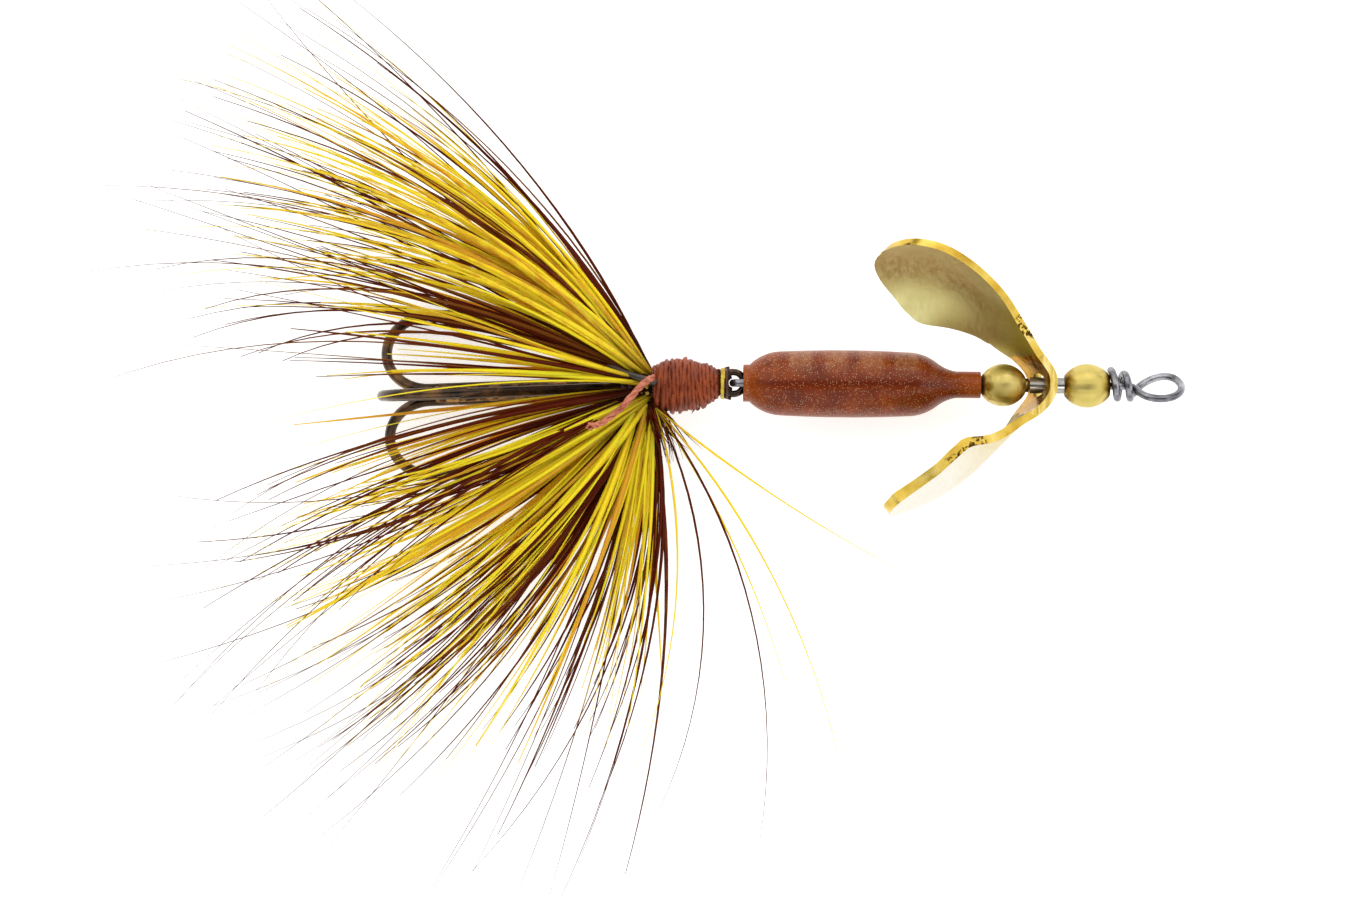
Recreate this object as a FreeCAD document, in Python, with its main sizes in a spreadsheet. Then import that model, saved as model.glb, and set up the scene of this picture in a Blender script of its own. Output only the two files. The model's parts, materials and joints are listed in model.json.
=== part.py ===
"""Inline spinner, a fishing lure, as separate pieces in millimetres.

The frame's origin is the middle of the line eye. The shaft wire runs from there along -X to the
treble hook, +Z is up, and the lure lies level with two hook points down and one up.
"""
import FreeCAD, Part
import math
import os

import Sketcher

Vector = FreeCAD.Vector
Rotation = FreeCAD.Rotation
Placement = FreeCAD.Placement
ALONG_X = Rotation(Vector(0, 0, 1), Vector(1, 0, 0))
EYE_FLAT_END = 400  # degrees round the line eye where the wire starts to leave its plane
CURVE_STEP = 20  # degrees between the points that the eye's exit and the wraps pass through
RIM_STATIONS = 16  # points along one side of a blade's outline
BAND_STATIONS = 14  # cross-sections along a blade

# Driving dimensions: alias, value and what it is. Places along the shaft are X in the lure's frame.
DIMENSIONS = [
    ("wire_radius", 0.28, "half the shaft wire's diameter"),
    ("eye_radius", 1.685, "line eye, middle of the wire"),
    ("eye_tilt", 57, "degrees that the eye's plane leans out of the XY plane"),
    ("eye_entry", 200, "degrees round the eye where the shaft joins it"),
    ("eye_exit", 520, "degrees round the eye where the wire leaves for its wraps"),
    ("wrap_radius", 0.88, "wraps, middle of the wire"),
    ("wrap_pitch", 0.93, "advance of one wrap"),
    ("wrap_front", -1.95, "front end of the wraps"),
    ("wrap_first", 573, "degrees of wrapping from the tag end to the eye"),
    ("tag_lift", 0.3, "how far the wrap's tag end stands off"),
    ("hinge_place", -30.95, "middle of the rear loop's bow and of the hook's eye"),
    ("loop_radius", 0.72, "rear loop, middle of the wire"),
    ("loop_bend_start", -29.3, "where the rear loop's long leg turns to the shaft's line"),
    ("loop_bend_radius", 1.6, "radius of both turns of that leg"),
    ("loop_tag_end", -28.4, "front end of the rear loop's short leg"),
    ("front_bead_place", -6.82, "rear face of the front bead"),
    ("front_bead_length", 3.26, ""),
    ("front_bead_radius", 1.6, "at the middle"),
    ("front_bead_end_radius", 0.78, "flat end"),
    ("rear_bead_place", -12.9, "rear face of the rear bead"),
    ("rear_bead_length", 3.2, "without its collar"),
    ("rear_bead_radius", 1.55, "at the middle"),
    ("rear_bead_end_radius", 0.62, "flat end"),
    ("collar_length", 0.26, "drawn lip at the rear bead's front hole"),
    ("collar_radius", 0.5, ""),
    ("bead_bore_radius", 0.34, "runs on the shaft wire"),
    ("sleeve_place", -9.38, "rear end of the bearing sleeve"),
    ("sleeve_length", 2.5, ""),
    ("sleeve_radius", 0.585, ""),
    ("sleeve_bore_radius", 0.32, "runs on the shaft wire"),
    ("sleeve_seam", 0.06, "gap where the rolled sleeve's edges meet"),
    ("blade_place", -8.15, "middle of the twin blade's hub hole"),
    ("blade_thickness", 0.6, ""),
    ("hub_hole_radius", 0.9, "loose on the sleeve, so that the blade leans"),
    ("hub_bend_radius", 2.4, "outside of the hub's bend"),
    ("hub_width", 3.2, "strap through the hub"),
    ("leg_angle", 43, "degrees from the shaft to the blade's leg"),
    ("leg_length", 6.3, ""),
    ("neck_length", 2.3, "part of the leg that keeps the hub's width"),
    ("leaf_length", 8.3, "bowed part of each blade"),
    ("leaf_turn", 34, "degrees that the leaf bows towards the shaft"),
    ("leaf_width", 7.0, "widest part of each blade"),
    ("cup_depth", 1.05, "depth of the cupped face"),
    ("cup_loss", 0.45, "share of the cup that is gone at the tip"),
    ("blade_pitch", 18, "degrees that each leaf is twisted about its own length"),
    ("blade_lean", 24.5, "degrees that the blade leans on its sleeve"),
    ("blade_turn", -4.5, "degrees that the blade stands turned about the shaft"),
    ("body_place", -30.21, "rear face of the body"),
    ("body_length", 17.25, ""),
    ("lip_radius", 1.36, "rear face"),
    ("lip_length", 0.45, ""),
    ("shoulder_length", 2.7, "from the rear face to the full girth"),
    ("barrel_radius", 2.34, "at both ends of the barrel"),
    ("barrel_end", 11.9, "front end of the barrel"),
    ("shoulder_curve", 3.4, "rear shoulder"),
    ("barrel_curve", 90, "slight belly of the barrel"),
    ("brow_end", 14.1, "end of the front shoulder"),
    ("brow_radius", 1.58, ""),
    ("brow_curve", 3.6, "front shoulder"),
    ("neck_start", 15.5, ""),
    ("neck_radius", 0.97, ""),
    ("neck_curve", 3.0, "hollow that runs into the neck"),
    ("coat_thickness", 0.2, "translucent coat on the lead"),
    ("core_bore_radius", 0.32, "cast round the shaft wire"),
    ("recess_radius", 1.2, "room for the hook's eye in the rear face"),
    ("recess_depth", 0.55, ""),
    ("loop_bore_radius", 1.06, "room for the doubled wire"),
    ("loop_bore_depth", 3.1, ""),
    ("hook_turn", 2.7, "degrees that the hook and its hackle lie off the shaft's line"),
    ("hook_eye_radius", 0.8, "hook's eye, middle of the wire"),
    ("hook_eye_wire", 0.25, "half the wire's thickness at the eye"),
    ("hook_wire", 0.395, "half the hook wire's diameter"),
    ("shank_spread", 0.5, "from the shaft's line to each shank's middle"),
    ("shank_front", -31.75, "front end of the two eyed shanks"),
    ("third_shank_front", -32.3, "front end of the third shank"),
    ("bend_place", -53.05, "where the shanks run into the bends"),
    ("gape_radius", 6.8, "from the shaft's line to each point's arm"),
    ("arm_length", 2.4, "straight part of the point's arm"),
    ("point_length", 2.1, ""),
    ("barb_place", 1.15, "from the bend's end to the barb"),
    ("barb_length", 1.3, ""),
    ("barb_height", 0.42, ""),
    ("barb_thickness", 0.3, ""),
    ("point_tip_radius", 0.03, "blunted by its plating"),
    ("braze_radius", 0.62, "fillets of braze between the shanks"),
    ("braze_front", -33.0, ""),
    ("braze_length", 19.6, ""),
    ("barrel_place", -36.84, "rear end of the thread barrel"),
    ("thread_bore", 0.93, "all windings fit round the three shanks"),
    ("thread_length", 4.95, ""),
    ("thread_belly_place", 2.4, "from the barrel's rear end"),
    ("thread_rear_radius", 1.55, ""),
    ("thread_belly_radius", 1.97, ""),
    ("thread_front_radius", 1.22, ""),
    ("thread_rear_curve", 5.5, ""),
    ("thread_front_curve", 9.0, ""),
    ("yellow_thread_place", -31.795, "middle of the rear yellow turn"),
    ("yellow_thread_radius", 0.085, "half of one turn's thickness"),
    ("yellow_thread_pitch", 0.168, "slightly pressed together"),
    ("yellow_ring_radius", 1.06, "yellow turns, middle of the thread"),
    ("eye_wrap_place", -31.52, "rear end of the winding against the hook's eye"),
    ("eye_wrap_length", 0.12, ""),
    ("eye_wrap_radius", 1.16, ""),
    ("quill_radius", 0.17, "half the stripped stem's thickness"),
    ("quill_ring_radius", 1.1, "stem's turns, middle of the stem"),
    ("quill_pitch", 0.42, ""),
    ("quill_turns", 1.9, ""),
    ("yellow_quill_place", -37.9, "rear end of the yellow feather's stem"),
    ("brown_quill_place", -39.1, "rear end of the brown feather's stem"),
    ("tag_radius", 0.24, "salmon thread's tag end"),
    ("tag_length", 6.4, ""),
    ("near_flare", 52, "degrees that the widest tufts open on the +Y side"),
    ("far_flare", 80, "degrees that they open on the -Y side"),
    ("tuft_root_radius", 0.17, ""),
    ("tuft_belly_radius", 0.8, ""),
    ("tuft_tip_radius", 0.25, ""),
    ("tuft_length", 35.5, "length of a long tuft"),
    ("tuft_belly_share", 0.6, "how far along a tuft is thickest"),
    ("tuft_start_radius", 1.51, "just outside the stems' turns"),
]

doc = FreeCAD.newDocument("inline_spinner")
dims = doc.addObject("Spreadsheet::Sheet", "dims")
nodes = []


def fill_sheet():
    """Writes each dimension on its own row: what it is, its name, and its value."""
    for row, (alias, value, note) in enumerate(DIMENSIONS, start=1):
        dims.set(f"A{row}", note)
        dims.set(f"B{row}", alias)
        dims.set(f"C{row}", str(value))
        dims.setAlias(f"C{row}", alias)
    doc.recompute()


def dim(alias):
    return float(dims.get(alias))


def keep(piece, label):
    """Marks an object of the document as a finished piece, under its own name."""
    piece.Label = label
    nodes.append(piece)
    return piece


def hang(piece, label):
    """Keeps a piece of the hook, turned about the rear loop as the hook lies."""
    hung = doc.addObject("Part::Compound", label + "_hung")
    hung.Links = [piece]
    hung.Placement = Placement(Vector(), Rotation(Vector(0, 0, 1), dim("hook_turn")))
    bind(
        hung,
        x="dims.hinge_place * (1 - cos(dims.hook_turn * 1 deg))",
        y="-dims.hinge_place * sin(dims.hook_turn * 1 deg)",
    )
    return keep(hung, label)


def bind(piece, **formulas):
    """Ties properties to the sheet: Radius="dims.wire_radius", and x, y or z for its place."""
    for name, formula in formulas.items():
        path = f"Placement.Base.{name}" if name in ("x", "y", "z") else name
        piece.setExpression(path, formula)
    return piece


def arc_centre(start, end, radius):
    """The centre of an arc from start to end; a positive radius bulges to the right of that way."""
    chord = end.sub(start)
    half = chord.Length / 2
    away = Vector(-chord.y, chord.x, 0).normalize()
    rise = math.sqrt(radius * radius - half * half)
    return (start + end) * 0.5 + away * math.copysign(rise, radius)


def add_side(sketch, start, end, radius_formula):
    """Adds one line or arc. Returns (number, which end is the start, which is the end)."""
    if not radius_formula:
        return sketch.addGeometry(Part.LineSegment(start, end), False), 1, 2
    radius = dims.evalExpression(radius_formula)
    centre = arc_centre(start, end, radius)
    circle = Part.Circle(centre, Vector(0, 0, 1), abs(radius))
    first, last = (start, end) if radius > 0 else (end, start)
    arc = Part.ArcOfCircle(circle, circle.parameter(first), circle.parameter(last))
    number = sketch.addGeometry(arc, False)
    bound = sketch.addConstraint(Sketcher.Constraint("Radius", number, abs(radius)))
    sketch.setExpression(f"Constraints[{bound}]", f"abs({radius_formula})")
    return (number, 1, 2) if radius > 0 else (number, 2, 1)


def outline(sketch, corners, curves):
    """Draws a closed chain of sides through corners given as sheet formulas, each tied to them.

    curves maps a side's number to its radius formula, and the other sides are straight.
    """
    places = [Vector(dims.evalExpression(x), dims.evalExpression(y), 0) for x, y in corners]
    nexts = places[1:] + places[:1]
    sides = []
    for i, (start, end) in enumerate(zip(places, nexts)):
        sides.append(add_side(sketch, start, end, curves.get(i)))
    for (number, _, last), (after, first, _) in zip(sides, sides[1:] + sides[:1]):
        sketch.addConstraint(Sketcher.Constraint("Coincident", number, last, after, first))
    for (number, point, _), place, formulas in zip(sides, places, corners):
        for kind, value, formula in (
            ("DistanceX", place.x, formulas[0]),
            ("DistanceY", place.y, formulas[1]),
        ):
            rule = Sketcher.Constraint(kind, -1, 1, number, point, value)
            tied = sketch.addConstraint(rule)
            sketch.setExpression(f"Constraints[{tied}]", formula)


def turned(name, corners, curves, place="0"):
    """A turned piece: a PartDesign body that revolves an outline of (along X, radius) corners."""
    body = doc.addObject("PartDesign::Body", name)
    sketch = body.newObject("Sketcher::SketchObject", name + "_outline")
    plane = [o for o in body.Origin.OriginFeatures if o.Role == "XY_Plane"][0]
    sketch.AttachmentSupport = [(plane, "")]
    sketch.MapMode = "FlatFace"
    outline(sketch, corners, curves)
    spin = body.newObject("PartDesign::Revolution", name + "_turning")
    spin.Profile = sketch
    spin.ReferenceAxis = (sketch, ["H_Axis"])
    spin.Angle = 360
    bind(body, x=place)
    return body


def cut(name, base, tool):
    piece = doc.addObject("Part::Cut", name)
    piece.Base = base
    piece.Tool = tool
    return piece


def fuse(name, parts):
    piece = doc.addObject("Part::MultiFuse", name)
    piece.Shapes = parts
    return piece


def rod(name, radius, length, place):
    """A cylinder along +X from a place on the shaft's line, all as sheet formulas."""
    piece = doc.addObject("Part::Cylinder", name)
    piece.Placement = Placement(Vector(), ALONG_X)
    return bind(piece, Radius=radius, Height=length, x=place)


def cone(name, rear_radius, front_radius, length):
    piece = doc.addObject("Part::Cone", name)
    return bind(piece, Radius1=rear_radius, Radius2=front_radius, Height=length)


def made(name, shape, placement=Placement()):
    """A piece whose shape comes from Part's own functions, with sizes read from the sheet."""
    piece = doc.addObject("Part::Feature", name)
    piece.Shape = shape
    piece.Placement = placement
    return piece


def pipe(edges, radius):
    """A round wire of the given radius along edges that run on from each other."""
    path = Part.Wire(edges)
    start = path.Edges[0].valueAt(path.Edges[0].FirstParameter)
    way = path.Edges[0].tangentAt(path.Edges[0].FirstParameter)
    ring = Part.Wire([Part.makeCircle(radius, start, way)])
    return path.makePipeShell([ring], True, False)


def line(start, end):
    return Part.LineSegment(start, end).toShape()


def arc(start, middle, end):
    return Part.Arc(start, middle, end).toShape()


def smooth(share):
    """Runs from 0 to 1 with level ends."""
    share = min(max(share, 0.0), 1.0)
    return share * share * (3 - 2 * share)


# The shaft wire


def rear_loop():
    """The loop behind the body that carries the hook, and its long leg up to the shaft's line."""
    radius, bend = dim("loop_radius"), dim("loop_bend_radius")
    middle = dim("hinge_place") + radius
    turn = math.acos(1 - radius / (2 * bend))
    start = dim("loop_bend_start")
    half_way = start + bend * math.sin(turn)
    half_turn = Vector(
        start + bend * math.sin(turn / 2), 0, radius - bend * (1 - math.cos(turn / 2))
    )
    second_turn = Vector(
        half_way + bend * (math.sin(turn) - math.sin(turn / 2)), 0, bend * (1 - math.cos(turn / 2))
    )
    crossing = Vector(half_way, 0, radius / 2)
    end = Vector(half_way + bend * math.sin(turn), 0, 0)
    edges = [
        line(Vector(dim("loop_tag_end"), 0, -radius), Vector(middle, 0, -radius)),
        arc(Vector(middle, 0, -radius), Vector(middle - radius, 0, 0), Vector(middle, 0, radius)),
        line(Vector(middle, 0, radius), Vector(start, 0, radius)),
        arc(Vector(start, 0, radius), half_turn, crossing),
        arc(crossing, second_turn, end),
    ]
    return edges, end


def eye_point(degrees, offset):
    """A point round the line eye, pushed off the eye's plane by offset."""
    tilt = math.radians(dim("eye_tilt"))
    turn = math.radians(degrees)
    across = dim("eye_radius") * math.sin(turn)
    return Vector(
        dim("eye_radius") * math.cos(turn),
        across * math.cos(tilt) + offset * math.sin(tilt),
        offset * math.cos(tilt) - across * math.sin(tilt),
    )


def wrap_point(degrees):
    """A point along the wraps, which end in a tag that stands off the wire."""
    turn = math.radians(degrees)
    along = dim("wrap_front") - dim("wrap_pitch") * (dim("wrap_first") - degrees) / 360
    tag_share = smooth((60 - degrees) / 80)
    radius = dim("wrap_radius") + dim("tag_lift") * tag_share
    return Vector(along, radius * math.cos(turn), radius * math.sin(turn))


def line_eye(start):
    """The shaft's bend into the eye, the eye, and the wraps that close it."""
    entry = math.radians(dim("eye_entry"))
    bend_turn = math.radians(270 - dim("eye_entry"))
    bend = -dim("eye_radius") * math.sin(entry) / (1 - math.cos(bend_turn))
    bend_start = dim("eye_radius") * math.cos(entry) - bend * math.sin(bend_turn)
    tilt = math.radians(dim("eye_tilt"))
    drop = bend * (1 - math.cos(bend_turn / 2))
    bend_middle = Vector(
        bend_start + bend * math.sin(bend_turn / 2), -drop * math.cos(tilt), drop * math.sin(tilt)
    )
    first = Vector(bend_start, 0, 0)
    joined, ring_middle, ring_end = (
        eye_point(degrees, 0) for degrees in (dim("eye_entry"), 300, EYE_FLAT_END)
    )
    points = []
    for degrees in range(EYE_FLAT_END, int(dim("eye_exit")) + 1, CURVE_STEP):
        share = (degrees - EYE_FLAT_END) / (dim("eye_exit") - EYE_FLAT_END)
        points.append(eye_point(degrees, -dim("wrap_radius") * smooth(share)))
    degrees = dim("wrap_first")
    while degrees >= -CURVE_STEP:
        points.append(wrap_point(degrees))
        degrees -= CURVE_STEP
    edges = [line(start, first), arc(first, bend_middle, joined), arc(joined, ring_middle, ring_end)]
    return edges, tangent_spline(points, edges[-1])


def tangent_spline(points, before):
    """A smooth curve through points that runs on from the edge before it."""
    lengths = [0.0]
    for a, b in zip(points, points[1:]):
        lengths.append(lengths[-1] + b.sub(a).Length)
    curve = Part.BSplineCurve()
    curve.interpolate(
        Points=points,
        Parameters=lengths,
        InitialTangent=before.tangentAt(before.LastParameter),
        FinalTangent=points[-1].sub(points[-2]).normalize(),
        Scale=False,
    )
    return curve.toShape()


def shaft_wire():
    loop, end = rear_loop()
    shaft, wraps = line_eye(end)
    front = pipe([wraps], dim("wire_radius"))
    return pipe(loop + shaft, dim("wire_radius")).fuse(front).removeSplitter().Solids[0]


# The beads and the bearing


def belly_curve(bead):
    """The radius of a bead's outline, which is level at the middle and meets both flat ends."""
    half = f"(dims.{bead}_length / 2)"
    rise = f"(dims.{bead}_radius - dims.{bead}_end_radius)"
    return f"({half}^2 + {rise}^2) / (2 * {rise})"


def front_bead():
    corners = [
        ("0", "dims.bead_bore_radius"),
        ("dims.front_bead_length", "dims.bead_bore_radius"),
        ("dims.front_bead_length", "dims.front_bead_end_radius"),
        ("dims.front_bead_length / 2", "dims.front_bead_radius"),
        ("0", "dims.front_bead_end_radius"),
    ]
    curves = {2: belly_curve("front_bead"), 3: belly_curve("front_bead")}
    return turned("front_bead_body", corners, curves, "dims.front_bead_place")


def rear_bead():
    """A hollow bead with a drawn collar at its front hole."""
    collar_end = "dims.rear_bead_length + dims.collar_length"
    corners = [
        ("0", "dims.bead_bore_radius"),
        (collar_end, "dims.bead_bore_radius"),
        (collar_end, "dims.collar_radius"),
        ("dims.rear_bead_length", "dims.collar_radius"),
        ("dims.rear_bead_length", "dims.rear_bead_end_radius"),
        ("dims.rear_bead_length / 2", "dims.rear_bead_radius"),
        ("0", "dims.rear_bead_end_radius"),
    ]
    curves = {4: belly_curve("rear_bead"), 5: belly_curve("rear_bead")}
    return turned("rear_bead_body", corners, curves, "dims.rear_bead_place")


def bearing_sleeve():
    """A tube rolled from sheet, with its seam up."""
    tube = rod("sleeve_tube", "dims.sleeve_radius", "dims.sleeve_length", "dims.sleeve_place")
    bore = rod("sleeve_bore", "dims.sleeve_bore_radius", "dims.sleeve_length", "dims.sleeve_place")
    seam = doc.addObject("Part::Box", "sleeve_seam_gap")
    bind(
        seam,
        Length="dims.sleeve_length",
        Width="dims.sleeve_seam",
        Height="dims.sleeve_radius",
        x="dims.sleeve_place",
        y="-dims.sleeve_seam / 2",
    )
    return cut("sleeve_shape", tube, fuse("sleeve_openings", [bore, seam]))


# The twin blade


def strip_place(along):
    """The blade's middle line in its own XY plane: where it is and its slope, at a length along it."""
    bend, slope = dim("hub_bend_radius"), math.radians(dim("leg_angle"))
    if along <= bend_length():
        angle = math.pi / 2 - along / bend
        return Vector(bend * (math.sin(angle) - 1), bend * math.cos(angle), 0), angle
    corner = Vector(bend * (math.sin(slope) - 1), bend * math.cos(slope), 0)
    leg = min(along - bend_length(), dim("leg_length"))
    place = corner + Vector(-math.cos(slope), math.sin(slope), 0) * leg
    rest = along - bend_length() - leg
    if rest <= 0:
        return place, slope
    leaf_curve = dim("leaf_length") / math.radians(dim("leaf_turn"))
    angle = slope - rest / leaf_curve
    bow = Vector(math.sin(angle) - math.sin(slope), math.cos(angle) - math.cos(slope), 0)
    return place + bow * leaf_curve, angle


def strip_section(along, half_width):
    """A closed cross-section of the blade: cupped on its inner side, and twisted along its leg."""
    place, angle = strip_place(along)
    leg_start = bend_length()
    leg_share = (along - leg_start) / dim("leg_length")
    whole_share = (along - leg_start) / (strip_length() - leg_start)
    twist = math.radians(dim("blade_pitch")) * smooth(leg_share * 1.8)
    fade = 1 - dim("cup_loss") * smooth(2 * whole_share - 1)
    cup = dim("cup_depth") * smooth(leg_share - 0.25) * fade
    inward = Vector(-math.sin(angle), -math.cos(angle), 0)
    upward = Vector(0, 0, 1)
    side = upward * math.cos(twist) - inward * math.sin(twist)
    depth = inward * math.cos(twist) + upward * math.sin(twist)
    leaf_half = dim("leaf_width") / 2
    faces = []
    for offset in (0, dim("blade_thickness")):
        points = []
        for share_across in (-1, -0.5, 0, 0.5, 1):
            across = share_across * half_width
            sag = cup * (across / leaf_half) ** 2
            points.append(place + side * across + depth * (sag + offset))
        faces.append(points)
    outer, inner = faces
    edges = [
        spline(outer),
        line(outer[-1], inner[-1]),
        spline(inner[::-1]),
        line(inner[0], outer[0]),
    ]
    return Part.Wire(edges)


def spline(points):
    curve = Part.BSplineCurve()
    curve.interpolate(Points=points)
    return curve.toShape()


def bend_length():
    """Half of the hub's bend, from the shaft's line to the leg."""
    return dim("hub_bend_radius") * math.radians(90 - dim("leg_angle"))


def strip_length():
    return bend_length() + dim("leg_length") + dim("leaf_length")


def leaf_outline(diagonal):
    """The flat outline of one blade in the plane of diagonal and Z, from the hub to a round tip."""
    length = strip_length()
    leaf_start = bend_length() + dim("neck_length")
    hub_half, leaf_half = dim("hub_width") / 2, dim("leaf_width") / 2
    widest = 0.5  # share of the way to the tip
    half = []
    for i in range(RIM_STATIONS):
        share = i / RIM_STATIONS
        reach = strip_place(leaf_start + share * (length - leaf_start))[0].dot(diagonal)
        width = hub_half + (leaf_half - hub_half) * smooth(share / widest)
        past = max(share - widest, 0) / (1 - widest)
        half.append((reach, width * math.sqrt(1 - past**2.3)))
    tip = strip_place(length)[0].dot(diagonal)
    rim = half + [(tip, 0)] + [(reach, -width) for reach, width in half[::-1]]
    rim_points = [diagonal * reach + Vector(0, 0, width) for reach, width in rim]
    behind = Vector(0, 0, 0) - diagonal * 2
    low, high = Vector(0, 0, -hub_half), Vector(0, 0, hub_half)
    curve = Part.BSplineCurve()
    curve.interpolate(Points=rim_points, InitialTangent=diagonal, FinalTangent=diagonal * -1)
    edges = [
        line(behind + high, rim_points[0]),
        curve.toShape(),
        line(rim_points[-1], behind + low),
        line(behind + low, behind + high),
    ]
    return Part.Face(Part.Wire(edges))


def half_blade():
    """One blade with its half of the hub: a bent, cupped band trimmed to the blade's outline."""
    half_width = 0.62 * dim("leaf_width")  # a little wider than the outline that trims it
    length = strip_length()
    places = [length * i / BAND_STATIONS for i in range(BAND_STATIONS)] + [length * 1.03]
    sections = [strip_section(along, half_width) for along in places]
    band = Part.makeLoft(sections, True, False)
    diagonal = Vector(-1, 1, 0).normalize()
    across = Vector(1, 1, 0).normalize()
    reach = 2 * length
    face = leaf_outline(diagonal)
    face.translate(across * (-reach / 2))
    return band.common(face.extrude(across * reach))


def twin_blade():
    """Both blades, turned half round the shaft from each other, with the hub's hole through them."""
    upper = half_blade()
    lower = upper.copy()
    lower.rotate(Vector(), Vector(1, 0, 0), 180)
    reach = dim("hub_width")
    hole = Part.makeCylinder(
        dim("hub_hole_radius"), 2 * reach, Vector(-reach, 0, 0), Vector(1, 0, 0)
    )
    blade = upper.fuse(lower).cut(hole)
    blade.translate(Vector(dim("blade_thickness") / 2, 0, 0))
    solid = blade.removeSplitter().Solids[0]
    lean = Rotation(Vector(0, 1, 0), dim("blade_lean"))
    turn = Rotation(Vector(1, 0, 0), dim("blade_turn"))
    piece = doc.addObject("Part::Feature", "twin_blade_shape")
    piece.Shape = solid
    piece.Placement = Placement(Vector(), turn.multiply(lean))
    return bind(piece, x="dims.blade_place")


# The body


def body_form(name, coat, place):
    """The body's turned outline, all over thinner by coat."""
    less = f" - {coat}"
    corners = [
        ("0", "0"),
        ("dims.body_length", "0"),
        ("dims.body_length", "dims.neck_radius" + less),
        ("dims.neck_start", "dims.neck_radius" + less),
        ("dims.brow_end", "dims.brow_radius" + less),
        ("dims.barrel_end", "dims.barrel_radius" + less),
        ("dims.shoulder_length", "dims.barrel_radius" + less),
        ("dims.lip_length", "dims.lip_radius" + less),
        ("0", "dims.lip_radius" + less),
    ]
    curves = {
        3: "-dims.neck_curve",
        4: "dims.brow_curve",
        5: "dims.barrel_curve",
        6: "dims.shoulder_curve",
    }
    return turned(name, corners, curves, place)


def body_pieces():
    """The cast core with its stepped bore, and the coat that covers it."""
    core_form = body_form("core_form", "dims.coat_thickness", "dims.body_place")
    coat_form = body_form("coat_form", "0", "dims.body_place")
    bore = rod("core_bore", "dims.core_bore_radius", "dims.body_length", "dims.body_place")
    loop_bore = rod("loop_bore", "dims.loop_bore_radius", "dims.loop_bore_depth", "dims.body_place")
    core = cut("core_shape", core_form, fuse("core_openings", [bore, loop_bore]))
    recess = rod("recess", "dims.recess_radius", "dims.recess_depth", "dims.body_place")
    coat = cut("coat_shape", coat_form, fuse("coat_openings", [core_form, recess]))
    return cut("core_with_recess", core, recess), coat


# The treble hook


def hook(front):
    """One hook in the XY plane: shank, round bend, arm, point and barb."""
    spread, gape, bend = dim("shank_spread"), dim("gape_radius"), dim("bend_place")
    radius, arm_end = dim("hook_wire"), bend + dim("arm_length")
    middle = Vector(bend - (gape - spread) / 2, (gape + spread) / 2, 0)
    edges = [
        line(Vector(front, spread, 0), Vector(bend, spread, 0)),
        arc(Vector(bend, spread, 0), middle, Vector(bend, gape, 0)),
        line(Vector(bend, gape, 0), Vector(arm_end, gape, 0)),
    ]
    wire = pipe(edges, radius)
    point_start, forward = Vector(arm_end, gape, 0), Vector(1, 0, 0)
    point = Part.makeCone(
        radius, dim("point_tip_radius"), dim("point_length"), point_start, forward
    )
    heel = bend + dim("barb_place")
    inner = gape - radius * 0.8  # the barb is cut up out of the wire's inner side
    corners = [
        Vector(heel + dim("barb_length"), inner, 0),
        Vector(heel, inner, 0),
        Vector(heel, inner - dim("barb_height"), 0),
    ]
    barb = Part.Face(Part.makePolygon(corners + corners[:1]))
    barb.translate(Vector(0, 0, -dim("barb_thickness") / 2))
    return wire.fuse([point, barb.extrude(Vector(0, 0, dim("barb_thickness")))])


def turned_hook(front, degrees):
    """A hook turned about the shaft's line, from +Y towards +Z."""
    shape = hook(front)
    shape.rotate(Vector(), Vector(1, 0, 0), degrees)
    return shape


def double_hook():
    """Two hooks and the eye that carries all three, which are one bent wire."""
    eye = Part.makeTorus(
        dim("hook_eye_radius"), dim("hook_eye_wire"), Vector(dim("hinge_place"), 0, 0)
    )
    front = dim("shank_front")
    shape = eye.fuse([turned_hook(front, -30), turned_hook(front, 210)])
    return shape.removeSplitter().Solids[0]


def third_hook():
    shape = hook(dim("third_shank_front")).removeSplitter().Solids[0]
    return made("third_hook_shape", shape, Placement(Vector(), Rotation(Vector(1, 0, 0), 90)))


def hook_braze(hooks):
    """Braze that fills the valleys between the three shanks."""
    fill = rod("braze_fill", "dims.braze_radius", "dims.braze_length", "dims.braze_front")
    bind(fill, x="dims.braze_front - dims.braze_length")
    return cut("braze_shape", fill, fuse("braze_openings", hooks))


# The thread and the hackle


def tying_thread():
    """The wound barrel of thread that ties the feathers on."""
    corners = [
        ("0", "dims.thread_bore"),
        ("dims.thread_length", "dims.thread_bore"),
        ("dims.thread_length", "dims.thread_front_radius"),
        ("dims.thread_belly_place", "dims.thread_belly_radius"),
        ("0", "dims.thread_rear_radius"),
    ]
    curves = {2: "dims.thread_front_curve", 3: "dims.thread_rear_curve"}
    return turned("thread_body", corners, curves, "dims.barrel_place")


def yellow_thread():
    """Two turns of thread side by side."""
    turns = []
    for i in range(2):
        turn = doc.addObject("Part::Torus", f"yellow_turn_{i + 1}")
        turn.Placement = Placement(Vector(), ALONG_X)
        bind(
            turn,
            Radius1="dims.yellow_ring_radius",
            Radius2="dims.yellow_thread_radius",
            x=f"dims.yellow_thread_place + {i} * dims.yellow_thread_pitch",
        )
        turns.append(turn)
    return fuse("yellow_thread_shape", turns)


def eye_wrap():
    outer = rod("eye_wrap_outer", "dims.eye_wrap_radius", "dims.eye_wrap_length", "dims.eye_wrap_place")
    inner = rod("eye_wrap_inner", "dims.thread_bore", "dims.eye_wrap_length", "dims.eye_wrap_place")
    return cut("eye_wrap_shape", outer, inner)


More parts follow.
